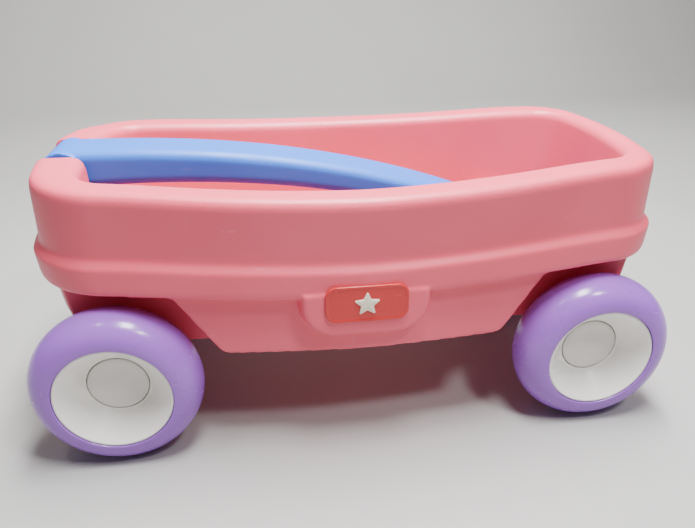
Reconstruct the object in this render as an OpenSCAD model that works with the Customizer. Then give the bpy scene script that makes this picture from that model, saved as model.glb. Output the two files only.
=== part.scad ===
// Toddler's pull wagon: a hollow double-wall tub on four free-spinning wheels,
// with a pull handle that folds back into the tub.
// Frame: X runs along the wagon with the handle end at -X, Z is up from the ground,
// and the origin is on the ground under the middle of the wheelbase.

/* [Tub] */
// Half length of the rim, from the middle to the flat of each end
rim_half_length = 272; // [268:1:275]
// Half width of the rim at its ends
rim_end_half_width = 111.5; // [105:0.5:114]
// Extra half width that the bowed sides gain in the middle
side_bow = 30; // [18:1:32]
// Height of the rim at its lowest, in the middle of the sides
rim_z = 246; // [240:1:250]
// How much higher the rim stands at the ends
rim_rise = 18.5; // [12:0.5:22]
// Height of the belt ledge in the middle of the sides
belt_z = 190; // [185:0.5:195]
// Height of the underside between the wheels
tub_bottom_z = 95; // [92:0.5:98]
// Height of the lower edge of the side skirts
skirt_z = 102.5; // [100:0.5:106]
// Height of the cargo floor
floor_z = 116; // [112:0.5:122]
// Thickness of the moulded wall
wall = 3; // [2.5:0.1:4]
// Half width of the tub between the wheels
recess_half_width = 86; // [80:0.5:87]

/* [Wheels] */
// Distance between the axles
wheelbase = 442; // [430:1:450]
// Radius of the wheels
wheel_r = 75; // [70:0.5:76]
// Distance from the middle plane of the wagon to the middle plane of a wheel
wheel_mid_y = 115.5; // [115:0.1:120]
// Half width of a tyre
tyre_half_width = 25.8; // [22:0.1:26]
// Radius of the axle rods
axle_r = 4; // [3:0.5:5]

/* [Handle] */
// Half width of the handle's shaft
shaft_half_width = 26.6; // [22:0.1:28.5]
// Half width of the hand loop at the handle's end
loop_half_width = 44; // [40:1:46]
// Half width of the notch that the handle turns in
notch_half_width = 31; // [31:0.5:36]
// Height of the notch's sill
notch_sill_z = 212; // [208:1:214]
// Height of the handle's pin
pivot_z = 241.5; // [240:0.5:243]
// Radius of the handle's pin
pin_r = 4; // [3:0.5:5]

/* [Badge] */
// Width of the badge plate
badge_w = 71; // [60:1:76]
// Height of the badge plate
badge_h = 34; // [28:1:36]

/* [Hidden] */
$fn = 64;

fit = 0.06;             // radial clearance of a running fit
well_half_width = 76;   // half width between the wheel wells inside the tub
well_top_z = 174;       // height of the wells' tops
rise_span = 280;        // distance over which a line on the tub makes its full rise
rise_limit = 0.5;       // share of that rise where the line levels out
front_bow = 5.7;        // how far the front end bows outwards
rear_bow = 11.3;        // how far the rear end bows outwards
rear_inset = 5.5;       // how much shorter the outline is at the rear, before the bow
open_front = rim_half_length - 40;             // half length of the opening, handle end
open_rear = rim_half_length - 28;              // half length of the opening, rear end
open_half_width = rim_end_half_width - 32.5;   // half width of the opening at its ends
front_crown = 0.21;     // extra share of the rise in the middle of the front end
pivot_x = -259;
hub_r = 19.2;           // radius of the handle's pivot hub
pin_end = notch_half_width + 12;   // the pin reaches 12 mm into each side of the notch
pin_boss_r = 11;        // radius of the bosses inside the tub that hold the pin
axle_x = wheelbase / 2;
axle_z = wheel_r;
lug_r = 14;             // radius of the axle lugs under the tub
lug_inner_y = 58;
badge_x = -2;
badge_z = 155;
badge_face_y = rim_end_half_width + side_bow + 1;
vent_x = 60;            // centre of the moulding vent in the underside
vent_r = 5;

// ---------------------------------------------------------------- tub outline
// A share from 0 to about rise_limit that grows as the square of x and levels out.
function rise_share(x) =
    let (v = pow(x / rise_span, 2))
    v / pow(1 + pow(v / rise_limit, 6), 1 / 6);

function arc(cx, cy, r, start, count) =
    [for (i = [0 : count - 1]) let (a = start + 90 * i / (count - 1)) [cx + r * cos(a), cy + r * sin(a)]];

function between(p, q, count) =
    [for (i = [1 : count]) let (s = i / (count + 1)) p * (1 - s) + q * s];

// Bows the four sides of a rounded rectangle outwards.
function bowed(p, half_width) =
    let (
        sx = p.x / rim_half_length,
        sy = p.y / half_width,
        end_bow = p.x < 0 ? front_bow : rear_bow
    )
    [
        p.x + end_bow * sx * (1 - min(1, sy * sy)),
        p.y * (1 + side_bow / half_width * (1 - min(1, pow(abs(sx), 1.55))))
    ];

// Rounded rectangle with its four ends at -front, rear and +-half_width. n holds
// the number of points on each corner, each side and each end.
function outline(front, rear, half_width, r_front, r_rear, n) =
    let (
        a = arc(rear - r_rear, half_width - r_rear, r_rear, 0, n[0]),
        b = arc(r_front - front, half_width - r_front, r_front, 90, n[0]),
        c = arc(r_front - front, r_front - half_width, r_front, 180, n[0]),
        d = arc(rear - r_rear, r_rear - half_width, r_rear, 270, n[0]),
        last = n[0] - 1
    )
    concat(
        a, between(a[last], b[0], n[1]), b, between(b[last], c[0], n[2]),
        c, between(c[last], d[0], n[1]), d, between(d[last], a[0], n[2])
    );

function smooth(s) = let (c = min(1, max(0, s))) c * c * (3 - 2 * c);

// The front end also stands higher in its middle than at its corners.
function crown_share(q) =
    front_crown * smooth((-q.x - 215) / 40) * (1 - min(1, pow(q.y / 95, 2)));

// One ring of the tub at station [face, ends, sides, z, rise]: face is "out" for the
// outer wall and "in" for the wall of the opening, ends and sides move the outline
// outwards, and the ring lies at z in the middle and rises towards both ends.
function ring(s, n) =
    let (
        outer = s[0] == "out",
        front = (outer ? rim_half_length : open_front) + s[1],
        rear = (outer ? rim_half_length - rear_inset : open_rear) + s[1],
        half = (outer ? rim_end_half_width : open_half_width) + s[2],
        r_front = max(8, (outer ? 60 : 23) + s[2]),
        r_rear = max(8, (outer ? 44 : 29) + s[2]),
        flat = outline(front, rear, half, r_front, r_rear, n)
    )
    [
        for (p = flat)
        let (q = bowed(p, half))
        [q.x, q.y, s[3] + s[4] * (rise_share(q.x) + crown_share(q))]
    ];

// Closed solid through a list of rings, closed by a point at z_first and one at z_last.
module loft(rings, z_first, z_last) {
    m = len(rings[0]);
    k = len(rings);
    points = concat([for (r = rings) for (p = r) p], [[0, 0, z_first], [0, 0, z_last]]);
    first_cap = [for (j = [0 : m - 1]) [m * k, j, (j + 1) % m]];
    last_cap = [for (j = [0 : m - 1]) [m * k + 1, m * (k - 1) + (j + 1) % m, m * (k - 1) + j]];
    walls = [
        for (i = [0 : k - 2])
        for (j = [0 : m - 1])
        let (a = m * i + j, b = m * i + (j + 1) % m)
        each [[a, a + m, b + m], [a, b + m, b]]
    ];
    polyhedron(points = points, faces = concat(first_cap, walls, last_cap));
}

// Stations from the middle of the underside, up the outside, over the rim and down
// to the floor.
skin_stations = [
    ["out", -75, -60, tub_bottom_z, 0],
    ["out", -28, -22, tub_bottom_z, 0],
    ["out", -21, -13, tub_bottom_z + 1.2, 0],
    ["out", -17.5, -10.2, tub_bottom_z + 5, 0],
    ["out", -15, -9.4, tub_bottom_z + 11, 0],
    ["out", -6, -9.4, belt_z - 56, 2],
    ["out", -2, -9.4, belt_z - 34.5, 12],
    ["out", 0, -7, belt_z - 32, 12],
    ["out", 4.6, -1.2, belt_z - 30.5, 12],
    ["out", 6.4, 0.4, belt_z - 28.6, 12],
    ["out", 7.2, 0.9, belt_z - 25, 13],
    ["out", 8.4, 0.5, belt_z - 12, 15],
    ["out", 8.6, 0, belt_z - 9, 15],
    ["out", 7.8, -0.9, belt_z - 6.8, 15],
    ["out", 4, -2.6, belt_z - 1.7, 15],
    ["out", 2.8, -3.1, belt_z + 0.3, 15],
    ["out", 2.3, -3.3, belt_z + 2.6, 15],
    ["out", 0.4, -0.3, rim_z - 12, rim_rise],
    ["out", 0, 0, rim_z - 9.5, rim_rise],
    ["out", -0.6, -0.6, rim_z - 5.8, rim_rise],
    ["out", -2.6, -2.6, rim_z - 2.4, rim_rise],
    ["out", -6, -6, rim_z - 0.6, rim_rise],
    ["out", -10, -10, rim_z, rim_rise],
    ["in", 9, 9, rim_z, rim_rise],
    ["in", 5, 5, rim_z - 0.9, rim_rise],
    ["in", 1.8, 1.8, rim_z - 3.8, rim_rise],
    ["in", 0.3, 0.3, rim_z - 7, rim_rise],
    ["in", 0, 0, rim_z - 10, rim_rise],
    ["in", -3.6, -3.6, well_top_z + 2, 8],
    ["in", -4, -4, well_top_z - 5, 6],
    ["in", -5, -5, floor_z + 14, 2],
    ["in", -7, -7, floor_z + 6.5, 1],
    ["in", -11, -11, floor_z + 1.6, 0],
    ["in", -17, -17, floor_z + 0.5, 0],
    ["in", -30, -30, floor_z, 0]
];

// The same walk one wall thickness inside the skin.
hollow_stations = [
    ["out", -80, -65, tub_bottom_z + wall, 0],
    ["out", -30, -24, tub_bottom_z + wall, 0],
    ["out", -21, -13.5, tub_bottom_z + 4 + wall, 0],
    ["out", -6 - wall, -9.4 - wall, belt_z - 56, 2],
    ["out", -2 - wall, -9.4 - wall, belt_z - 34.5, 12],
    ["out", 6.4 - wall, 0.4 - wall, belt_z - 28 + wall, 12],
    ["out", 8.2 - wall, 0.3 - wall, belt_z - 12, 15],
    ["out", 2.6 - wall, -3.3 - wall, belt_z + 0.3, 15],
    ["out", 0.2 - wall, -0.5 - wall, rim_z - 11, rim_rise],
    ["out", -3 - wall, -3 - wall, rim_z - 3 - wall, rim_rise],
    ["out", -8 - wall, -8 - wall, rim_z - wall, rim_rise],
    ["in", 7 + wall, 7 + wall, rim_z - wall, rim_rise],
    ["in", 3 + wall, 3 + wall, rim_z - 3.6 - wall, rim_rise],
    ["in", 0.4 + wall, 0.4 + wall, rim_z - 8 - wall, rim_rise],
    ["in", wall, wall, rim_z - 12 - wall, rim_rise],
    ["in", wall - 3.6, wall - 3.6, well_top_z + 1, 8],
    ["in", wall - 4, wall - 4, well_top_z - 6, 6],
    ["in", wall - 5, wall - 5, floor_z + 12, 2],
    ["in", wall - 7.5, wall - 7.5, floor_z + 3, 1],
    ["in", -11, -11, floor_z - wall, 0],
    ["in", -18, -18, floor_z - wall, 0]
];

// ------------------------------------------------------------------ tub pieces
// Extrudes an outline drawn in X and Z along Y, from y_low to y_high.
module along_y(y_low, y_high) {
    translate([0, y_high, 0])
        rotate([90, 0, 0])
            linear_extrude(y_high - y_low)
                children();
}

// Repeats its children at both ends of the wagon.
module both_ends() {
    children();
    mirror([1, 0, 0]) children();
}

// Repeats its children on both sides of the wagon.
module both_sides() {
    children();
    mirror([0, 1, 0]) children();
}

// Room for the wheels beside the tub and the step under the skirts, grown by grow
// into the tub. The inner edge of each room leans, so the skirt ends in a slope.
module wheel_room(grow) {
    inner_y = recess_half_width - grow;
    both_ends()
        both_sides()
            along_y(inner_y, 160)
                polygon([
                    [126 - grow, tub_bottom_z - 5],
                    [126 - grow, skirt_z],
                    [164 - grow, belt_z - 32 + grow],
                    [300, belt_z - 27 + grow],
                    [300, tub_bottom_z - 5]
                ]);
    both_sides()
        translate([-160, inner_y, tub_bottom_z - 5])
            cube([320, 80, skirt_z + grow - tub_bottom_z + 5]);
}

// Blocks that close the tub off over the wheels, shrunk by inset. Each has its own
// reach towards the end of the tub and a sloping inner end.
module wheel_wells(inset) {
    low = 100;
    lean = 0.685;
    for (end = [[1, 240], [0, 249]])
        mirror([end[0], 0, 0])
            both_sides()
                along_y(well_half_width + inset, 104 - inset)
                    polygon([
                        [112 + 1.9 * inset, low + inset],
                        [112 + lean * (well_top_z - low) + 0.53 * inset, well_top_z - inset],
                        [end[1] - inset, well_top_z - inset],
                        [end[1] - inset, low + inset]
                    ]);
}

// Notch in the front wall that the handle turns in.
module handle_notch(grow) {
    translate([-300, -notch_half_width - grow, notch_sill_z - grow])
        cube([74 + grow, 2 * (notch_half_width + grow), 60]);
}

module y_cylinder(r, x, z, y_low, y_high) {
    translate([x, y_high, z])
        rotate([90, 0, 0])
            cylinder(r = r, h = y_high - y_low);
}

// Pads with rounded lower corners that carry the badges, one on each side.
module badge_pads() {
    half = 54;
    low = 121;
    r = 22;
    both_sides()
        along_y(badge_face_y - 14, badge_face_y)
            translate([badge_x, 0])
                polygon(concat(
                    arc(half - r, low + r, r, 270, 12),
                    [[half, 164], [-half, 164]],
                    arc(r - half, low + r, r, 180, 12)
                ));
}

module axle_lugs() {
    for (x = [-axle_x, axle_x])
        both_sides() {
            y_cylinder(lug_r, x, axle_z, lug_inner_y, recess_half_width);
            translate([x - lug_r, lug_inner_y, axle_z])
                cube([2 * lug_r, recess_half_width - lug_inner_y, tub_bottom_z + 8 - axle_z]);
        }
}

module tub() {
    color("pink")
        difference() {
            union() {
                difference() {
                    union() {
                        loft([for (s = skin_stations) ring(s, [9, 17, 9])], tub_bottom_z, floor_z);
                        wheel_wells(0);
                    }
                    wheel_room(0);
                }
                badge_pads();
                axle_lugs();
            }
            difference() {
                union() {
                    loft(
                        [for (s = hollow_stations) ring(s, [6, 9, 4])],
                        tub_bottom_z + wall, floor_z - wall
                    );
                    wheel_wells(wall);
                }
                wheel_room(wall);
                handle_notch(wall);
                y_cylinder(pin_boss_r, pivot_x, pivot_z, -pin_end - 5, pin_end + 5);
                translate([vent_x, 0, 90]) cylinder(r = 10, h = 13);
            }
            handle_notch(0);
            y_cylinder(pin_r, pivot_x, pivot_z, -pin_end, pin_end);
            for (x = [-axle_x, axle_x])
                y_cylinder(axle_r, x, axle_z, -100, 100);
            translate([vent_x, 0, 90]) cylinder(r = vent_r, h = 22);
        }
}

module vent_plug() {
    color("pink")
        translate([vent_x, 0, tub_bottom_z - 1.5]) {
            cylinder(r = vent_r + 3, h = 1.5);
            cylinder(r = vent_r, h = 8);
        }
}

// ------------------------------------------------------------- axles and wheels
nut_gap = 0.4;
hub_face = -6;          // outer face of the hub, from the wheel's middle plane
hub_back = -27;         // inner face of the hub
nut_h = 2;

module axle(x) {
    reach = wheel_mid_y + hub_face + nut_gap + nut_h + 0.6;
    color("silver")
        y_cylinder(axle_r, x, axle_z, -reach, reach);
}

// Places its children on each wheel's axis, with +Z pointing away from the wagon.
module at_wheel(x, side) {
    translate([x, side * wheel_mid_y, axle_z])
        rotate([-90 * side, 0, 0])
            children();
}

module push_nuts() {
    color("silver")
        for (x = [-axle_x, axle_x], side = [-1, 1])
            at_wheel(x, side)
                translate([0, 0, hub_face + nut_gap])
                    difference() {
                        cylinder(r = 9, h = nut_h);
                        translate([0, 0, -1]) cylinder(r = axle_r, h = nut_h + 2);
                    }
}

module axle_washers() {
    washer_h = wheel_mid_y + hub_back - recess_half_width - 0.5;
    color("silver")
        for (x = [-axle_x, axle_x], side = [-1, 1])
            at_wheel(x, side)
                translate([0, 0, hub_back - 0.4 - washer_h])
                    difference() {
                        cylinder(r = 9.5, h = washer_h);
                        translate([0, 0, -1]) cylinder(r = axle_r, h = washer_h + 2);
                    }
}

tyre_section_r = 22.8;  // half height of the tyre's section
dish_r = 49;          // radius of the dish at its mouth
dish_top = 24.4;      // height of the dish's lip over the middle plane
cap_r = 26.4;

// Points on the tyre's oval section, shrunk by inset.
function oval(inset, start, stop, count) =
    [
        for (i = [0 : count])
        let (a = start + (stop - start) * i / count)
        [
            wheel_r - tyre_section_r + (tyre_section_r - inset) * cos(a),
            (tyre_half_width - inset) * sin(a)
        ]
    ];

// Hollow moulded ring: its tread, its inner side and the cone that backs the dish.
module tyre(x, side) {
    t = 2.6;
    skin = concat(
        oval(0, 90, -90, 24),
        [[32, -24.5], [10.6, -24.5], [10.6, -20], [30.5, -7.5], [52, 19.5]]
    );
    core = concat(
        oval(t, 72, -90, 12),
        [[33, -24.5 + t], [19, -24.5 + t], [29.8 + t, -7.5 - t], [56, 20.5 - t]]
    );
    color("plum")
        at_wheel(x, side)
            rotate_extrude($fn = 96)
                difference() {
                    polygon(skin);
                    polygon(core);
                }
}

// White insert: a cone, a flat seat for the cap and the hub that turns on the axle.
module dish(x, side) {
    bore = axle_r + fit;
    color("white")
        at_wheel(x, side)
            rotate_extrude($fn = 96)
                polygon([
                    [bore, hub_back], [10, hub_back], [10, -10], [29, -6.5], [31, -4.4],
                    [51.7, 20.8], [51.7, dish_top], [dish_r, dish_top + 0.4], [dish_r - 1, dish_top],
                    [29.4, 1.4], [28.4, 0.8], [cap_r + 0.8, 0.8], [cap_r + 0.8, -3],
                    [15, -3], [15, hub_face], [bore, hub_face]
                ]);
}

module cap(x, side) {
    color("whitesmoke")
        at_wheel(x, side)
            rotate_extrude($fn = 96)
                polygon([
                    [0, -2.4], [12, -2.4], [12, -5.2], [14.9, -5.2], [14.9, -3],
                    [cap_r, -3], [cap_r, 0.4], [cap_r - 0.4, 1], [cap_r - 1.4, 1.4], [0, 1.9]
                ]);
}

// ------------------------------------------------------------------------ badge
module rounded_plate(w, h, r) {
    polygon(concat(
        arc(w / 2 - r, h / 2 - r, r, 0, 9),
        arc(r - w / 2, h / 2 - r, r, 90, 9),
        arc(r - w / 2, r - h / 2, r, 180, 9),
        arc(w / 2 - r, r - h / 2, r, 270, 9)
    ));
}

plate_h = 2.2;

module badge(side) {
    color("crimson")
        mirror([0, side < 0 ? 1 : 0, 0])
            along_y(badge_face_y, badge_face_y + plate_h)
                translate([badge_x, badge_z]) rounded_plate(badge_w, badge_h, 10);
}

module star(side) {
    color("cornsilk")
        mirror([0, side < 0 ? 1 : 0, 0])
            along_y(badge_face_y + plate_h, badge_face_y + plate_h + 0.8)
                translate([badge_x, badge_z])
                    polygon([
                        for (i = [0 : 9])
                        let (r = i % 2 == 0 ? 12 : 5.6)
                        [r * sin(36 * i), r * cos(36 * i)]
                    ]);
}

// ----------------------------------------------------------------------- handle
loop_start = 128;       // where the shaft starts to widen into the loop
loop_full = 178;
handle_tip = 235;
slot_low = 190;
slot_high = 218;
slot_half_width = 31;
handle_end_depth = 26;  // height of the section from the shaft's middle to its end
handle_edge_r = 9.3;    // rounding of the section's corners

// Height of the handle's upper side when it lies in the tub.
function handle_top(x) =
    let (t = max(0, (x - pivot_x - 14) / 100))
    pivot_z + hub_r - 3.7 * t * t - 0.27 * t * t * t;

function handle_depth(x) = handle_end_depth + 9 * pow(min(1, max(0, (60 - x) / 319)), 1.3);

// Half width, with the loop's rounded end.
function handle_half(x) =
    let (
        wide = shaft_half_width
            + (loop_half_width - shaft_half_width) * smooth((x - loop_start) / (loop_full - loop_start)),
        left = handle_tip - x,
        r = 22,
        cut = left >= r ? 0 : r - sqrt(r * r - pow(r - left, 2))
    )
    wide - cut;

// Rounded upright section of the handle at x.
function handle_ring(x, inset) =
    let (
        half = handle_half(x) - inset,
        depth = handle_depth(x) - 2 * inset,
        top = handle_top(x) - inset,
        r = handle_edge_r - inset,
        corners = [[1, 1, 0], [-1, 1, 90], [-1, -1, 180], [1, -1, 270]]
    )
    [
        for (c = corners)
        for (p = arc(c[0] * (half - r), c[1] * (depth / 2 - r), r, c[2], 4))
        [x, p.x, top - depth / 2 + p.y]
    ];

module handle_loft(xs, inset) {
    rings = [for (x = xs) handle_ring(x, inset)];
    m = len(rings[0]);
    k = len(rings);
    walls = [
        for (i = [0 : k - 2])
        for (j = [0 : m - 1])
        let (a = m * i + j, b = m * i + (j + 1) % m)
        each [[a, a + m, b + m], [a, b + m, b]]
    ];
    polyhedron(
        points = [for (r = rings) for (p = r) p],
        faces = concat(
            walls,
            [[for (j = [0 : m - 1]) j]],
            [[for (j = [m - 1 : -1 : 0]) m * (k - 1) + j]]
        )
    );
}

module pull_handle() {
    tip_steps = [for (i = [0 : 6]) handle_tip - 0.3 - 21.7 * (1 - sin(15 * i))];
    skin_x = concat([for (x = [pivot_x : 16 : 205]) x], tip_steps);
    hollow_x = [for (x = [pivot_x + 24 : 22 : 180]) x];
    color("cornflowerblue")
        difference() {
            union() {
                handle_loft(skin_x, 0);
                y_cylinder(hub_r, pivot_x, pivot_z, -shaft_half_width, shaft_half_width);
                y_cylinder(9, pivot_x, pivot_z, 0.6 - notch_half_width, notch_half_width - 0.6);
            }
            handle_loft(hollow_x, wall);
            y_cylinder(pin_r + fit, pivot_x, pivot_z, -60, 60);
            translate([slot_low, -slot_half_width, 80])
                cube([slot_high - slot_low, 2 * slot_half_width, 120]);
            translate([-40, 0, 150]) cylinder(r = 2.5, h = 80);
        }
}

module handle_pin() {
    color("silver")
        y_cylinder(pin_r, pivot_x, pivot_z, -pin_end, pin_end);
}

tub();
vent_plug();
axle(-axle_x);  // front_axle
axle(axle_x);  // rear_axle
push_nuts();
axle_washers();
handle_pin();
badge(-1);  // badge_left
badge(1);  // badge_right
star(-1);  // star_left
star(1);  // star_right
tyre(-axle_x, -1);  // tyre_front_left
tyre(-axle_x, 1);  // tyre_front_right
tyre(axle_x, -1);  // tyre_rear_left
tyre(axle_x, 1);  // tyre_rear_right
dish(-axle_x, -1);  // dish_front_left
dish(-axle_x, 1);  // dish_front_right
dish(axle_x, -1);  // dish_rear_left
dish(axle_x, 1);  // dish_rear_right
cap(-axle_x, -1);  // cap_front_left
cap(-axle_x, 1);  // cap_front_right
cap(axle_x, -1);  // cap_rear_left
cap(axle_x, 1);  // cap_rear_right
pull_handle();
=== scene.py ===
"""Looks of the toddler's pull wagon: finer moulded shells, materials, studio and camera
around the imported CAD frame. Lengths are in millimetres until a mesh is made."""

import math

import bmesh
import bpy
import numpy as np
from mathutils import Euler, Matrix, Vector


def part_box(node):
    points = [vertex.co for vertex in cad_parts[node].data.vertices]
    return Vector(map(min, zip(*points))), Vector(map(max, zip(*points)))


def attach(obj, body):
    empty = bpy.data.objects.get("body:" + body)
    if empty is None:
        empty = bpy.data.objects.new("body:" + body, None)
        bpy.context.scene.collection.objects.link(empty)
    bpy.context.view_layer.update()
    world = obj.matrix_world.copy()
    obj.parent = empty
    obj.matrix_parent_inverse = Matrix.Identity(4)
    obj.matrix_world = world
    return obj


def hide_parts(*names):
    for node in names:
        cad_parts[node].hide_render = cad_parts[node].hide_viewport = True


MM = 0.001
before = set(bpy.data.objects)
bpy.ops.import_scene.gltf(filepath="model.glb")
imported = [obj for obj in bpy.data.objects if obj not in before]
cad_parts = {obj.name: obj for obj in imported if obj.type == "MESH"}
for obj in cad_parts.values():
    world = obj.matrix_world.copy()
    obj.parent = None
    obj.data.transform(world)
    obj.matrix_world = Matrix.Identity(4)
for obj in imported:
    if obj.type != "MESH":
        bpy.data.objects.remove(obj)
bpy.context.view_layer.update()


def box_mm(node):
    """Lowest and highest corner of a CAD node, in millimetres."""
    low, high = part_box(node)
    return np.array(low) / MM, np.array(high) / MM


# ------------------------------------------------------------------ camera
CAMERA_PLACE = Vector((-77.35, -592.41, 420.03)) * MM
CAMERA_YAW = 0.1304
CAMERA_PITCH = 0.4647
CAMERA_ROLL = -0.0054
CAMERA_LENS = 32.61


def make_camera():
    """The camera at its solved place, looking along the wagon from above its near side."""
    data = bpy.data.cameras.new("camera")
    data.sensor_width = 36.0
    data.lens = CAMERA_LENS
    data.clip_start = 0.01
    camera = bpy.data.objects.new("camera", data)
    turn = Euler((math.pi / 2 - CAMERA_PITCH, 0.0, -CAMERA_YAW)).to_matrix()
    roll = Matrix.Rotation(CAMERA_ROLL, 3, "Z")
    camera.matrix_world = Matrix.Translation(CAMERA_PLACE) @ (turn @ roll).to_4x4()
    bpy.context.scene.collection.objects.link(camera)
    bpy.context.scene.camera = camera


make_camera()

# ------------------------------------------------------------------- sizes
BADGE_LOW, BADGE_HIGH = box_mm("badge_left")
AXLE_LOW, AXLE_HIGH = box_mm("front_axle")

# The tub's outline: half lengths and half widths from the origin, heights from the ground.
RIM_HALF_LENGTH = 272.0
RIM_END_HALF_WIDTH = 111.5
SIDE_BOW = 30.0
SIDE_BOW_POWER = 1.55
FRONT_INSET = 9.4
REAR_INSET = 11.1
# Front and rear end of the outer and the inner outline: how far it bows, and its corners.
END_BOWS = {"out": (17.8, 18.2), "in": (5.7, 11.3)}
CORNER_RADII = {"out": (47, 35), "in": (23, 20)}
LEAST_RADIUS = 8
RIM_Z = 246.0
RIM_RISE = 18.5
BELT_Z = 190.0
BOTTOM_Z = 95.0
SKIRT_Z = 102.5
FLOOR_Z = 116.0
RECESS_HALF_WIDTH = 86.0
OPEN_FRONT = 232.0
OPEN_REAR = 244.0
OPEN_HALF_WIDTH = 79.0
WELL_HALF_WIDTH = 76.0
WELL_TOP_Z = 174.0
WELL_LOW_Z = 100.0
WELL_FOOT_X = 112.0
WELL_LEAN = 0.685
WELL_OUTER_Y = 104.0
WELL_REACH = {-1: 240.0, 1: 249.0}
NOTCH_HALF_WIDTH = 31.0
NOTCH_SILL_Z = 212.0
NOTCH_INNER_X = 226.0
RISE_SPAN = 280.0
RISE_LIMIT = 0.5
# The front end's middle stands higher: by what share of the rise, and where it starts.
FRONT_CROWN = 0.21
CROWN_START = 215.0
CROWN_SPAN = 40.0
CROWN_HALF_WIDTH = 95.0
# Places outside the tub that the cutters reach to.
PAST_END = 300.0
PAST_SIDE = 165.0
# The side skirts end in a slope from their lower edge up to the belt's lip.
LIP_Z = BELT_Z - 32
SKIRT_HALF_LENGTH = 126.0
LIP_HALF_LENGTH = 164.0
PAD_HALF_WIDTH = 52.0
PAD_LOW_Z = 126.0
PAD_TOP_Z = 164.0
PAD_CORNER = 26.0
LUG_R = 14.0
LUG_INNER_Y = 58.0


# ------------------------------------------------------------ mesh helpers
def mesh_object(name, points, faces):
    """A mesh object from points in millimetres, with its normals turned outwards."""
    mesh = bpy.data.meshes.new(name)
    mesh.from_pydata([tuple(p) for p in np.asarray(points, float) * MM], [], faces)
    work = bmesh.new()
    work.from_mesh(mesh)
    bmesh.ops.remove_doubles(work, verts=work.verts, dist=1e-7)
    bmesh.ops.recalc_face_normals(work, faces=work.faces)
    work.to_mesh(mesh)
    work.free()
    piece = bpy.data.objects.new(name, mesh)
    bpy.context.scene.collection.objects.link(piece)
    return piece


def drop(piece):
    mesh = piece.data
    bpy.data.objects.remove(piece)
    bpy.data.meshes.remove(mesh)


def bake_modifiers(piece):
    """Replaces the piece's mesh by its mesh with every modifier applied."""
    graph = bpy.context.evaluated_depsgraph_get()
    mesh = bpy.data.meshes.new_from_object(piece.evaluated_get(graph))
    piece.modifiers.clear()
    old, piece.data = piece.data, mesh
    bpy.data.meshes.remove(old)
    mesh.name = piece.name


def boolean(piece, tools, operation):
    """Cuts or joins closed solids with the piece, then removes them."""
    for tool in tools:
        step = piece.modifiers.new("boolean", "BOOLEAN")
        step.operation = operation
        step.solver = "EXACT"
        step.object = tool
    bake_modifiers(piece)
    for tool in tools:
        drop(tool)


def mould(piece, voxel, rounds, faces):
    """Rebuilds a solid as one even skin whose edges are all softly rounded."""
    skin = piece.modifiers.new("skin", "REMESH")
    skin.mode = "VOXEL"
    skin.voxel_size = voxel * MM
    soften = piece.modifiers.new("soften", "SMOOTH")
    soften.factor = 0.5
    soften.iterations = rounds
    bake_modifiers(piece)
    have = 2 * len(piece.data.polygons)
    if have > faces:
        thin = piece.modifiers.new("thin", "DECIMATE")
        thin.ratio = faces / have
        bake_modifiers(piece)
    piece.data.shade_smooth()


def loft(name, rings, first, last):
    """A closed solid through rings of equal length, with a point closing each end."""
    count = len(rings[0])
    points = np.vstack(rings + [np.array([first, last], float)])
    faces = []
    for i in range(len(rings) - 1):
        for j in range(count):
            k = (j + 1) % count
            faces.append((count * i + j, count * i + k, count * (i + 1) + k, count * (i + 1) + j))
    end = count * len(rings)
    for j in range(count):
        k = (j + 1) % count
        faces.append((end, k, j))
        faces.append((end + 1, count * (len(rings) - 1) + j, count * (len(rings) - 1) + k))
    return mesh_object(name, points, faces)


def prism(name, outline, low, high, place):
    """Extrudes a closed outline; place turns outline coordinates and a depth into a point."""
    count = len(outline)
    points = [place(u, v, d) for d in (low, high) for u, v in outline]
    faces = [tuple(range(count)), tuple(range(2 * count - 1, count - 1, -1))]
    for j in range(count):
        k = (j + 1) % count
        faces.append((j, count + j, count + k, k))
    return mesh_object(name, points, faces)


def upright(u, v, d):
    """Places an outline drawn in X and Z, with its depth along Y."""
    return (u, d, v)


def rounded(corners, radii, steps=7):
    """A polygon's corners replaced by arcs of the given radii."""
    points = []
    count = len(corners)
    for i, radius in enumerate(radii):
        here = np.array(corners[i], float)
        back = np.array(corners[i - 1], float) - here
        ahead = np.array(corners[(i + 1) % count], float) - here
        if radius <= 0:
            points.append(tuple(here))
            continue
        back /= np.linalg.norm(back)
        ahead /= np.linalg.norm(ahead)
        half = math.acos(float(np.clip(back @ ahead, -1, 1))) / 2
        start = here + back * radius / math.tan(half)
        centre = here + (back + ahead) / np.linalg.norm(back + ahead) * radius / math.sin(half)
        arm = start - centre
        side = np.array([-arm[1], arm[0]])
        if side @ (here + ahead * radius - start) < 0:
            side = -side
        sweep = math.pi - 2 * half
        for k in range(steps + 1):
            a = sweep * k / steps
            points.append(tuple(centre + arm * math.cos(a) + side * math.sin(a)))
    return points


def revolve(name, profile, centre, side, segments=160):
    """Turns a profile of (radius, height outwards) about a wheel's axis."""
    profile = np.asarray(profile, float)
    angles = np.linspace(0, 2 * math.pi, segments, endpoint=False)
    count = len(profile)
    points = [
        (centre[0] + r * math.cos(a), centre[1] + side * h, centre[2] + r * math.sin(a))
        for a in angles
        for r, h in profile
    ]
    faces = []
    for i in range(segments):
        n = (i + 1) % segments
        for j in range(count):
            k = (j + 1) % count
            quad = (count * i + j, count * i + k, count * n + k, count * n + j)
            faces.append(quad)
    piece = mesh_object(name, points, faces)
    clean = bmesh.new()
    clean.from_mesh(piece.data)
    bmesh.ops.dissolve_degenerate(clean, dist=1e-6, edges=clean.edges)
    bmesh.ops.recalc_face_normals(clean, faces=clean.faces)
    clean.to_mesh(piece.data)
    clean.free()
    piece.data.shade_smooth()
    return piece


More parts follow.
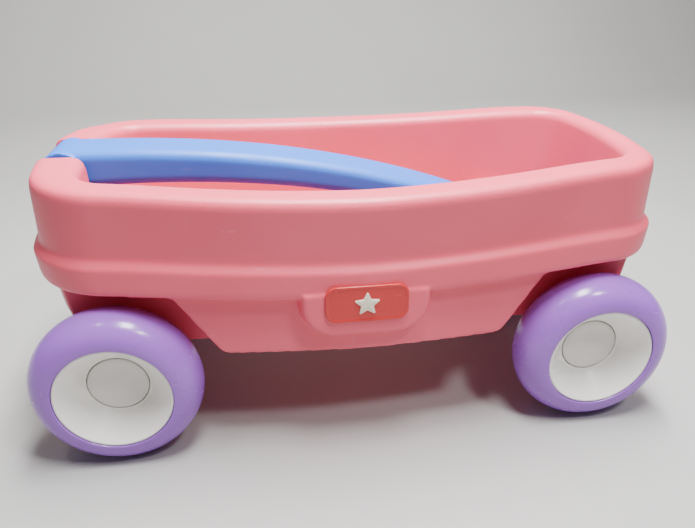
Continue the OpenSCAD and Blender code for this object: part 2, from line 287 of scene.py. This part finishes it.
# --------------------------------------------------------------- tub shape
def rise_share(x):
    """Share of the sheer: grows as the square of x and levels out at the ends."""
    v = (x / RISE_SPAN) ** 2
    return v / (1 + (v / RISE_LIMIT) ** 6) ** (1 / 6)


def corner_arc(cx, cy, radius, start, steps):
    """A quarter circle of points about a centre, from the start angle in degrees."""
    a = np.radians(start + np.linspace(0, 90, steps))
    return np.stack([cx + radius * np.cos(a), cy + radius * np.sin(a)], 1)


def outline(front, rear, half, r_front, r_rear):
    """Rounded rectangle, evenly stepped on its corners, sides and ends."""
    corner, along, across = 22, 90, 24
    arcs = [
        corner_arc(rear - r_rear, half - r_rear, r_rear, 0, corner),
        corner_arc(r_front - front, half - r_front, r_front, 90, corner),
        corner_arc(r_front - front, r_front - half, r_front, 180, corner),
        corner_arc(rear - r_rear, r_rear - half, r_rear, 270, corner),
    ]
    points = []
    for i, steps in enumerate((along, across, along, across)):
        ahead = arcs[(i + 1) % 4]
        share = np.linspace(0, 1, steps + 2)[1:-1, None]
        points += [arcs[i], arcs[i][-1] * (1 - share) + ahead[0] * share]
    return np.vstack(points)


def bowed(p, half, front_bow, rear_bow):
    """Bows the four sides of an outline outwards."""
    sx = p[:, 0] / RIM_HALF_LENGTH
    sy = p[:, 1] / half
    end_bow = np.where(p[:, 0] < 0, front_bow, rear_bow)
    x = p[:, 0] + end_bow * sx * (1 - np.minimum(1, sy * sy))
    y = p[:, 1] * (1 + SIDE_BOW / half * (1 - np.minimum(1, np.abs(sx) ** SIDE_BOW_POWER)))
    return np.stack([x, y], 1)


def crown_share(q):
    """Extra share of the rise in the middle of the front end."""
    s = np.clip((-q[:, 0] - CROWN_START) / CROWN_SPAN, 0, 1)
    across = 1 - np.minimum(1, (q[:, 1] / CROWN_HALF_WIDTH) ** 2)
    return FRONT_CROWN * s * s * (3 - 2 * s) * across


def ring(face, ends, sides, z, rise):
    """One ring of the tub's skin, moved outwards by ends and sides."""
    outer = face == "out"
    front = (RIM_HALF_LENGTH - FRONT_INSET if outer else OPEN_FRONT) + ends
    rear = (RIM_HALF_LENGTH - REAR_INSET if outer else OPEN_REAR) + ends
    half = (RIM_END_HALF_WIDTH if outer else OPEN_HALF_WIDTH) + sides
    r_front, r_rear = (max(LEAST_RADIUS, r + sides) for r in CORNER_RADII[face])
    q = bowed(outline(front, rear, half, r_front, r_rear), half, *END_BOWS[face])
    return np.column_stack([q, z + rise * (rise_share(q[:, 0]) + crown_share(q))])


# The walk from the middle of the underside, up the outside, over the rim and down
# to the floor, as (face, outwards at the ends, outwards at the sides, height, sheer).
SKIN = [
    ("out", -75, -60, BOTTOM_Z, 0),
    ("out", -28, -22, BOTTOM_Z, 0),
    ("out", -21, -13, BOTTOM_Z + 1.2, 0),
    ("out", -17.5, -10.2, BOTTOM_Z + 5, 0),
    ("out", -15, -9.4, BOTTOM_Z + 11, 0),
    ("out", -6, -9.4, BELT_Z - 56, 2),
    ("out", -2, -9.4, BELT_Z - 34.5, 12),
    ("out", 0, -7, BELT_Z - 32, 12),
    ("out", 4.6, -1.2, BELT_Z - 30.5, 12),
    ("out", 6.4, 0.4, BELT_Z - 28.6, 12),
    ("out", 7.2, 0.9, BELT_Z - 25, 13),
    ("out", 8.4, 0.9, BELT_Z - 12, 15),
    ("out", 8.6, 0.8, BELT_Z - 8.2, 15),
    ("out", 8.0, 0.1, BELT_Z - 6.8, 15),
    ("out", 4.0, -4.3, BELT_Z - 1.8, 15),
    ("out", 3.1, -4.9, BELT_Z - 0.4, 15),
    ("out", 2.7, -5.1, BELT_Z + 2.6, 15),
    ("out", 0.4, -0.3, RIM_Z - 12, RIM_RISE),
    ("out", 0, 0, RIM_Z - 9.5, RIM_RISE),
    ("out", -0.6, -0.6, RIM_Z - 5.8, RIM_RISE),
    ("out", -2.6, -2.6, RIM_Z - 2.4, RIM_RISE),
    ("out", -6, -6, RIM_Z - 0.6, RIM_RISE),
    ("out", -10, -10, RIM_Z, RIM_RISE),
    ("in", 9, 9, RIM_Z, RIM_RISE),
    ("in", 5, 5, RIM_Z - 0.9, RIM_RISE),
    ("in", 1.8, 1.8, RIM_Z - 3.8, RIM_RISE),
    ("in", 0.3, 0.3, RIM_Z - 7, RIM_RISE),
    ("in", 0, 0, RIM_Z - 10, RIM_RISE),
    ("in", -3.6, -3.6, WELL_TOP_Z + 2, 8),
    ("in", -4, -4, WELL_TOP_Z - 5, 6),
    ("in", -5, -5, FLOOR_Z + 14, 2),
    ("in", -7, -7, FLOOR_Z + 6.5, 1),
    ("in", -11, -11, FLOOR_Z + 1.6, 0),
    ("in", -17, -17, FLOOR_Z + 0.5, 0),
    ("in", -30, -30, FLOOR_Z, 0),
]


def wheel_rooms():
    """Cutters for the wheel rooms and the step under the skirt, one for each side."""
    under = BOTTOM_Z - 15
    corners = [
        (-PAST_END, under), (PAST_END, under), (PAST_END, LIP_Z + 5), (LIP_HALF_LENGTH, LIP_Z),
        (SKIRT_HALF_LENGTH, SKIRT_Z), (-SKIRT_HALF_LENGTH, SKIRT_Z),
        (-LIP_HALF_LENGTH, LIP_Z), (-PAST_END, LIP_Z + 5),
    ]
    shape = rounded(corners, [0, 0, 0, 9, 13, 13, 9, 0])
    return [
        prism("room", shape, side * RECESS_HALF_WIDTH, side * PAST_SIDE, upright)
        for side in (-1, 1)
    ]


def wheel_wells():
    """Blocks that close the tub off over the wheels."""
    head = WELL_FOOT_X + WELL_LEAN * (WELL_TOP_Z - WELL_LOW_Z)
    blocks = []
    for end, reach in WELL_REACH.items():
        corners = [
            (end * WELL_FOOT_X, WELL_LOW_Z), (end * head, WELL_TOP_Z),
            (end * reach, WELL_TOP_Z), (end * reach, WELL_LOW_Z),
        ]
        for side in (-1, 1):
            shape = rounded(corners, [0, 8, 0, 0])
            blocks.append(
                prism("well", shape, side * WELL_HALF_WIDTH, side * WELL_OUTER_Y, upright)
            )
    return blocks


def pads():
    """Raised pads for the badges, with sloping borders and rounded lower corners."""
    centre = (BADGE_LOW[0] + BADGE_HIGH[0]) / 2
    face = abs(BADGE_HIGH[1])
    made = []
    for side in (-1, 1):
        rings = []
        for depth, grow in ((-14, 5), (-8, 5), (-2.2, 2), (-0.8, 0.6), (0, -0.6)):
            half, low = PAD_HALF_WIDTH + grow, PAD_LOW_Z - grow
            shape = rounded(
                [(half, PAD_TOP_Z), (-half, PAD_TOP_Z), (-half, low), (half, low)],
                [0, 0, PAD_CORNER + grow, PAD_CORNER + grow], 14,
            )
            rings.append(np.array([(centre + u, side * (face + depth), v) for u, v in shape]))
        first = rings[0].mean(0)
        last = rings[-1].mean(0)
        made.append(loft("pad", rings, first, last))
    return made


def axle_lugs():
    """Lugs under the tub that hold the axle rods."""
    x_axle = abs(AXLE_LOW[0] + AXLE_HIGH[0]) / 2
    z_axle = (AXLE_LOW[2] + AXLE_HIGH[2]) / 2
    made = []
    for x in (-x_axle, x_axle):
        under = [
            (x + LUG_R * math.cos(a), z_axle + LUG_R * math.sin(a))
            for a in np.linspace(math.pi, 2 * math.pi, 33)
        ]
        shape = under + [(x + LUG_R, BOTTOM_Z + 8), (x - LUG_R, BOTTOM_Z + 8)]
        for side in (-1, 1):
            made.append(
                prism("lug", shape, side * LUG_INNER_Y, side * RECESS_HALF_WIDTH, upright)
            )
    return made


def make_tub():
    """The tub's skin with its rooms, wells, pads, lugs and notch, all edges softened."""
    rings = [ring(*station) for station in SKIN]
    tub = loft("tub_shell", rings, (0, 0, BOTTOM_Z), (0, 0, FLOOR_Z))
    boolean(tub, wheel_wells(), "UNION")
    boolean(tub, wheel_rooms(), "DIFFERENCE")
    boolean(tub, pads() + axle_lugs(), "UNION")
    over_rim = RIM_Z + 44
    notch = rounded(
        [(-NOTCH_HALF_WIDTH, NOTCH_SILL_Z), (NOTCH_HALF_WIDTH, NOTCH_SILL_Z),
         (NOTCH_HALF_WIDTH, over_rim), (-NOTCH_HALF_WIDTH, over_rim)],
        [2, 2, 0, 0],
    )
    cutter = prism("notch", notch, -PAST_END, -NOTCH_INNER_X, lambda u, v, d: (d, u, v))
    boolean(tub, [cutter], "DIFFERENCE")
    mould(tub, voxel=1.35, rounds=3, faces=190000)
    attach(tub, "chassis")
    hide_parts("tub")
    return tub


# ------------------------------------------------------------------ handle
PIVOT_X = -259.0
PIVOT_Z = 241.5
HUB_R = 19.2
HUB_BOSS_R = 9.0
SHAFT_HALF_WIDTH = 26.6
LOOP_HALF_WIDTH = 44.0
LOOP_START = 128.0
LOOP_FULL = 178.0
LOOP_END_R = 22.0
HANDLE_TIP = float(box_mm("pull_handle")[1][0])
HANDLE_EDGE_R = 9.3
SLOT_X = (190.0, 218.0)
SLOT_HALF_WIDTH = 31.0
SLOT_CORNER = 9.0
# Depth of the handle's section at its end, and how much deeper it is at the pivot.
END_DEPTH = 26.0
EXTRA_DEPTH = 9.0
DEPTH_START = 60.0


def smooth(s):
    """Eases a share from 0 to 1."""
    c = min(1.0, max(0.0, s))
    return c * c * (3 - 2 * c)


def handle_top(x):
    """Height of the handle's upper side, which sinks towards the loop."""
    t = max(0.0, (x - PIVOT_X - 14) / 100)
    return PIVOT_Z + HUB_R - 3.7 * t * t - 0.27 * t ** 3


def handle_depth(x):
    """Height of the handle's section, which grows towards the pivot."""
    share = min(1.0, max(0.0, (DEPTH_START - x) / (DEPTH_START - PIVOT_X)))
    return END_DEPTH + EXTRA_DEPTH * share ** 1.3


def handle_half(x):
    """Half width of the handle at x, with the loop's rounded end."""
    wide = SHAFT_HALF_WIDTH + (LOOP_HALF_WIDTH - SHAFT_HALF_WIDTH) * smooth(
        (x - LOOP_START) / (LOOP_FULL - LOOP_START)
    )
    left = HANDLE_TIP - x
    r = LOOP_END_R
    return wide - (0 if left >= r else r - math.sqrt(max(0.0, r * r - (r - left) ** 2)))


def handle_ring(x):
    """Rounded upright section of the handle at x."""
    half = handle_half(x)
    depth = handle_depth(x)
    middle = handle_top(x) - depth / 2
    r = HANDLE_EDGE_R
    rows = []
    for sy, sz, start in ((1, 1, 0), (-1, 1, 90), (-1, -1, 180), (1, -1, 270)):
        for y, z in corner_arc(sy * (half - r), sz * (depth / 2 - r), r, start, 9):
            rows.append((x, y, middle + z))
    return np.array(rows)


def make_handle():
    """The pull handle with its hub and the finger slot."""
    xs = list(np.arange(PIVOT_X, HANDLE_TIP - LOOP_END_R, 6.0))
    short = 0.2
    xs += [
        HANDLE_TIP - short - (LOOP_END_R - short) * (1 - math.sin(math.radians(a)))
        for a in np.linspace(0, 90, 14)
    ]
    rings = [handle_ring(x) for x in xs]
    handle = loft("handle_shell", rings, rings[0].mean(0), rings[-1].mean(0))
    hub, boss = (
        [
            (PIVOT_X + radius * math.cos(a), PIVOT_Z + radius * math.sin(a))
            for a in np.linspace(0, 2 * math.pi, steps, endpoint=False)
        ]
        for radius, steps in ((HUB_R, 64), (HUB_BOSS_R, 48))
    )
    reach = NOTCH_HALF_WIDTH - 0.6
    boolean(
        handle,
        [
            prism("hub", hub, -SHAFT_HALF_WIDTH, SHAFT_HALF_WIDTH, upright),
            prism("boss", boss, -reach, reach, upright),
        ],
        "UNION",
    )
    slot = rounded(
        [(SLOT_X[0], -SLOT_HALF_WIDTH), (SLOT_X[1], -SLOT_HALF_WIDTH),
         (SLOT_X[1], SLOT_HALF_WIDTH), (SLOT_X[0], SLOT_HALF_WIDTH)],
        [SLOT_CORNER] * 4,
    )
    cutter = prism("slot", slot, 80, 220, lambda u, v, d: (u, v, d))
    boolean(handle, [cutter], "DIFFERENCE")
    mould(handle, voxel=1.2, rounds=4, faces=90000)
    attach(handle, "handle")
    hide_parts("pull_handle")
    return handle


# ------------------------------------------------------------------ wheels
TYRE_SECTION_R = 22.8
HUB_BORE_R = 4.06


def tyre_profile(radius, half_width):
    """The tyre's oval tread and the cone on its back that carries the dish."""
    a = np.radians(np.linspace(94, -90, 74))
    skin = np.stack(
        [radius - TYRE_SECTION_R + TYRE_SECTION_R * np.cos(a), half_width * np.sin(a)], 1
    )
    back = rounded(
        [(skin[-1][0], skin[-1][1]), (32, -24.5), (10.6, -24.5), (10.6, -20),
         (30.5, -7.5), (52, 19.5), (skin[0][0], skin[0][1])],
        [0, 3, 1, 1, 3, 1, 0],
    )
    return list(map(tuple, skin)) + back[1:-1]


def make_wheels():
    """Tyre, dish and cap of each wheel, turned around the wheel's own axis."""
    made = {"tyre": [], "dish": [], "cap": []}
    for end in ("front", "rear"):
        for side_name, side in (("left", -1), ("right", 1)):
            name = f"{end}_{side_name}"
            low, high = box_mm(f"tyre_{name}")
            centre = (low + high) / 2
            radius = (high[2] - low[2]) / 2
            half_width = (high[1] - low[1]) / 2
            dish = rounded(
                [(HUB_BORE_R, -27), (10, -27), (10, -10), (29, -6.5), (31, -4.4), (50.3, 19.2),
                 (50.3, 24.4), (48.4, 24.8), (29.4, 1.4), (27.4, 0.8), (27.2, -3), (15, -3),
                 (15, -6), (HUB_BORE_R, -6)],
                [0, 0.8, 1, 1, 1, 0.6, 0.5, 1.1, 2.2, 0.5, 0.3, 0.3, 0.3, 0],
            )
            cap = [(0.01, -2.4)] + rounded(
                [(12, -2.4), (12, -5.2), (14.9, -5.2), (14.9, -3), (26.4, -3),
                 (26.4, 1.3), (22, 1.55)],
                [0.3, 0.3, 0.3, 0.3, 0.3, 1.1, 2.5],
            ) + [(10, 1.8), (0.01, 1.9)]
            parts = {
                "tyre": tyre_profile(radius, half_width),
                "dish": dish,
                "cap": cap,
            }
            for kind, profile in parts.items():
                piece = revolve(f"{kind}_shell_{name}", profile, centre, side)
                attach(piece, f"wheel_{name}")
                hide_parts(f"{kind}_{name}")
                made[kind].append(piece)
    return made


# ------------------------------------------------------------------ badges
STAR_R = 12.0
STAR_INNER_R = 5.6


def make_badges():
    """A plain red plate and a star for each side."""
    plates, stars = [], []
    for name, side in (("left", -1), ("right", 1)):
        low, high = box_mm(f"badge_{name}")
        centre = (low + high) / 2
        half_w, half_h = (high[0] - low[0]) / 2, (high[2] - low[2]) / 2
        base = side * min(abs(low[1]), abs(high[1]))
        rings = []
        for depth, shrink in ((0, 0), (1.3, 0), (1.8, 0.2), (2.1, 0.6), (2.2, 1.2),
                              (2.2, 2.2), (1.8, 2.7), (1.8, 3.2)):
            w, h = half_w - shrink, half_h - shrink
            shape = rounded([(w, h), (-w, h), (-w, -h), (w, -h)], [10 - shrink] * 4, 10)
            rings.append(
                np.array([(centre[0] + u, base + side * depth, centre[2] + v) for u, v in shape])
            )
        plate = loft(
            f"badge_plate_{name}", rings, rings[0].mean(0), rings[-1].mean(0)
        )
        plate.data.shade_smooth()
        plates.append(plate)
        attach(plate, "chassis")
        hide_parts(f"badge_{name}")

        rings = []
        for depth, shrink in ((1.4, 0), (2.5, 0), (2.85, 0.15), (3.0, 0.6)):
            points = []
            for i in range(10):
                r = (STAR_R if i % 2 == 0 else STAR_INNER_R) - shrink
                a = math.pi * i / 5
                points.append((r * math.sin(a), r * math.cos(a)))
            shape = rounded(points, [0.8 if i % 2 == 0 else 1.6 for i in range(10)], 4)
            rings.append(
                np.array([(centre[0] + u, base + side * depth, centre[2] + v) for u, v in shape])
            )
        star = loft(f"badge_star_{name}", rings, rings[0].mean(0), rings[-1].mean(0))
        star.data.shade_smooth()
        stars.append(star)
        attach(star, "chassis")
        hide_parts(f"star_{name}")
    return plates, stars


# --------------------------------------------------------------- materials
class Nodes:
    """Short helpers for building one material's nodes."""

    def __init__(self, name):
        self.material = bpy.data.materials.new(name)
        self.material.use_nodes = True
        self.tree = self.material.node_tree
        self.tree.nodes.clear()
        self.output = self.add("ShaderNodeOutputMaterial")
        self.shader = self.add("ShaderNodeBsdfPrincipled")
        self.link(self.shader.outputs["BSDF"], self.output.inputs["Surface"])
        self.place = self.add("ShaderNodeTexCoord").outputs["Object"]

    def add(self, kind, **values):
        node = self.tree.nodes.new(kind)
        for key, value in values.items():
            setattr(node, key, value)
        return node

    def link(self, out, into):
        self.tree.links.new(out, into)

    def noise(self, scale, detail=3.0, roughness=0.5, stretch=(1, 1, 1)):
        where = self.place
        if stretch != (1, 1, 1):
            mapping = self.add("ShaderNodeMapping")
            mapping.inputs["Scale"].default_value = stretch
            self.link(self.place, mapping.inputs["Vector"])
            where = mapping.outputs["Vector"]
        node = self.add("ShaderNodeTexNoise")
        node.inputs["Scale"].default_value = scale
        node.inputs["Detail"].default_value = detail
        node.inputs["Roughness"].default_value = roughness
        self.link(where, node.inputs["Vector"])
        return node.outputs["Fac"]

    def spread(self, value, low, high, to_low=0.0, to_high=1.0):
        """Maps a value's range, clamped, onto another."""
        node = self.add("ShaderNodeMapRange")
        node.inputs["From Min"].default_value = low
        node.inputs["From Max"].default_value = high
        node.inputs["To Min"].default_value = to_low
        node.inputs["To Max"].default_value = to_high
        self.link(value, node.inputs["Value"])
        return node.outputs["Result"]

    def mix(self, factor, first, second, blend="MIX"):
        node = self.add("ShaderNodeMix", data_type="RGBA", blend_type=blend)
        for socket, value in ((node.inputs[0], factor), (node.inputs[6], first), (node.inputs[7], second)):
            if isinstance(value, bpy.types.NodeSocket):
                self.link(value, socket)
            elif isinstance(value, (int, float)):
                socket.default_value = value
            else:
                socket.default_value = (*value, 1.0)
        return node.outputs[2]

    def math(self, operation, first, second):
        node = self.add("ShaderNodeMath", operation=operation)
        for socket, value in ((node.inputs[0], first), (node.inputs[1], second)):
            if isinstance(value, bpy.types.NodeSocket):
                self.link(value, socket)
            else:
                socket.default_value = value
        return node.outputs[0]

    def bump(self, height, distance, strength=1.0):
        node = self.add("ShaderNodeBump")
        node.inputs["Strength"].default_value = strength
        node.inputs["Distance"].default_value = distance * MM
        self.link(height, node.inputs["Height"])
        self.link(node.outputs["Normal"], self.shader.inputs["Normal"])


def moulded_plastic(name, colour, deep, worn, rough, grain, grain_depth, scuffs=0.25, coat=0.0):
    """Moulded plastic: slow colour drift, fine specks, edge wear, scuffs and skin grain."""
    n = Nodes(name)
    drift = n.spread(n.noise(9.0, 2.0), 0.3, 0.7)
    base = n.mix(drift, deep, colour)
    specks = n.spread(n.noise(900.0, 2.0), 0.60, 0.72, 0.0, 0.10)
    base = n.mix(specks, base, deep)
    edge = n.spread(n.add("ShaderNodeNewGeometry").outputs["Pointiness"], 0.53, 0.62, 0.0, 0.5)
    patchy = n.spread(n.noise(60.0, 4.0), 0.40, 0.65)
    base = n.mix(n.math("MULTIPLY", edge, patchy), base, worn)
    scratch_a = n.spread(n.noise(260.0, 3.0, 0.55, (0.12, 1, 1)), 0.66, 0.72)
    scratch_b = n.spread(n.noise(240.0, 3.0, 0.55, (1, 1, 0.10)), 0.67, 0.73)
    where = n.spread(n.noise(14.0, 2.0), 0.48, 0.62)
    scratch = n.math("MULTIPLY", n.math("MAXIMUM", scratch_a, scratch_b), where)
    base = n.mix(n.math("MULTIPLY", scratch, scuffs), base, worn)
    n.link(base, n.shader.inputs["Base Color"])
    patches = n.spread(n.noise(22.0, 3.0), 0.3, 0.7, rough - 0.05, rough + 0.06)
    n.link(n.math("ADD", patches, n.math("MULTIPLY", scratch, 0.18)), n.shader.inputs["Roughness"])
    skin = n.noise(grain, 3.0, 0.6)
    n.bump(n.math("SUBTRACT", skin, n.math("MULTIPLY", scratch, 0.5)), grain_depth)
    n.shader.inputs["IOR"].default_value = 1.45
    n.shader.inputs["Coat Weight"].default_value = coat
    n.shader.inputs["Coat Roughness"].default_value = 0.12
    return n.material


def turned_steel(name):
    """Zinc-plated rod and nut steel with turning marks and dull patches."""
    n = Nodes(name)
    dull = n.spread(n.noise(70.0, 4.0), 0.35, 0.7)
    n.link(n.mix(dull, (0.62, 0.63, 0.65), (0.45, 0.44, 0.42)), n.shader.inputs["Base Color"])
    n.shader.inputs["Metallic"].default_value = 1.0
    n.link(n.spread(n.noise(40.0, 3.0), 0.3, 0.7, 0.24, 0.46), n.shader.inputs["Roughness"])
    n.bump(n.noise(300.0, 2.0, 0.5, (1, 8, 1)), 0.05, 0.5)
    return n.material


def dress(pieces, material):
    """Gives every piece the one material."""
    for piece in pieces:
        piece.data.materials.clear()
        piece.data.materials.append(material)


# ------------------------------------------------------------------ studio
def area_light(name, place, target, size, power):
    """A rectangular light at place that faces target, in metres and watts."""
    data = bpy.data.lights.new(name, "AREA")
    data.shape = "RECTANGLE"
    data.size, data.size_y = size
    data.energy = power
    lamp = bpy.data.objects.new(name, data)
    lamp.location = place
    lamp.rotation_euler = (Vector(target) - Vector(place)).to_track_quat("-Z", "Y").to_euler()
    bpy.context.scene.collection.objects.link(lamp)


def make_studio():
    """A pale sweep of floor and wall, a dim even sky and the studio's lamps."""
    far, deep, curve = 3.0, 1.3, 0.5
    profile = [(-2.0, 0.0), (deep, 0.0)]
    for a in np.linspace(0, math.pi / 2, 16)[1:]:
        profile.append((deep + curve * math.sin(a), curve * (1 - math.cos(a))))
    profile.append((deep + curve, 2.6))
    points = [(x / MM, y / MM, z / MM) for x in (-far, far) for y, z in profile]
    count = len(profile)
    faces = [(i, i + 1, count + i + 1, count + i) for i in range(count - 1)]
    floor = mesh_object("studio_floor", points, faces)
    floor.data.shade_smooth()
    n = Nodes("studio_paper")
    tone = n.spread(n.noise(2.0, 2.0), 0.3, 0.7)
    n.link(n.mix(tone, (0.40, 0.395, 0.385), (0.43, 0.425, 0.415)), n.shader.inputs["Base Color"])
    n.shader.inputs["Roughness"].default_value = 0.75
    n.bump(n.noise(500.0, 3.0), 0.05, 0.3)
    dress([floor], n.material)

    world = bpy.data.worlds.new("studio")
    bpy.context.scene.world = world
    world.use_nodes = True
    background = world.node_tree.nodes["Background"]
    background.inputs["Color"].default_value = (1.0, 0.98, 0.96, 1)
    background.inputs["Strength"].default_value = 0.16
    area_light("overhead", (0.10, -0.05, 1.5), (0, -0.05, 0.1), (1.0, 0.3), 78)
    area_light("key", (-0.6, -0.25, 1.4), (0, 0, 0.15), (0.16, 0.12), 2)
    area_light("second", (0.55, -0.75, 1.4), (0.1, 0, 0.15), (0.2, 0.16), 10)
    area_light("backdrop", (0, 0.75, 1.5), (0, 1.8, 0.5), (2.4, 0.4), 26)


# ------------------------------------------------------------------- build
tub = make_tub()
handle = make_handle()
wheels = make_wheels()
plates, stars = make_badges()

PINK = moulded_plastic(
    "tub_pink",
    colour=(0.88, 0.115, 0.18), deep=(0.84, 0.098, 0.155), worn=(0.91, 0.26, 0.33),
    rough=0.42, grain=420.0, grain_depth=0.06,
)
BLUE = moulded_plastic(
    "handle_blue",
    colour=(0.035, 0.19, 0.76), deep=(0.03, 0.17, 0.72), worn=(0.25, 0.40, 0.80),
    rough=0.46, grain=420.0, grain_depth=0.06,
)
PURPLE = moulded_plastic(
    "tyre_lavender",
    colour=(0.32, 0.115, 0.57), deep=(0.29, 0.10, 0.53), worn=(0.48, 0.30, 0.66),
    rough=0.24, grain=180.0, grain_depth=0.04, scuffs=0.35, coat=0.1,
)
WHITE = moulded_plastic(
    "dish_white",
    colour=(0.90, 0.87, 0.84), deep=(0.86, 0.83, 0.79), worn=(0.7, 0.69, 0.66),
    rough=0.30, grain=260.0, grain_depth=0.03,
)
GREY = moulded_plastic(
    "cap_grey",
    colour=(0.76, 0.73, 0.70), deep=(0.71, 0.68, 0.65), worn=(0.70, 0.67, 0.64),
    rough=0.34, grain=300.0, grain_depth=0.04,
)
RED = moulded_plastic(
    "badge_red",
    colour=(0.62, 0.03, 0.03), deep=(0.57, 0.025, 0.03), worn=(0.72, 0.16, 0.14),
    rough=0.25, grain=400.0, grain_depth=0.02,
)
CREAM = moulded_plastic(
    "star_cream",
    colour=(0.88, 0.80, 0.64), deep=(0.84, 0.75, 0.58), worn=(0.9, 0.86, 0.76),
    rough=0.28, grain=400.0, grain_depth=0.02,
)
WASHER = moulded_plastic(
    "washer_white",
    colour=(0.7, 0.7, 0.68), deep=(0.64, 0.64, 0.61), worn=(0.6, 0.58, 0.54),
    rough=0.45, grain=300.0, grain_depth=0.04,
)
STEEL = turned_steel("steel_plated")

dress([tub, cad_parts["vent_plug"]], PINK)
dress([handle], BLUE)
dress(wheels["tyre"], PURPLE)
dress(wheels["dish"], WHITE)
dress(wheels["cap"], GREY)
dress(plates, RED)
dress(stars, CREAM)
dress([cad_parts["axle_washers"]], WASHER)
dress([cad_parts[n] for n in ("front_axle", "rear_axle", "push_nuts", "handle_pin")], STEEL)

make_studio()
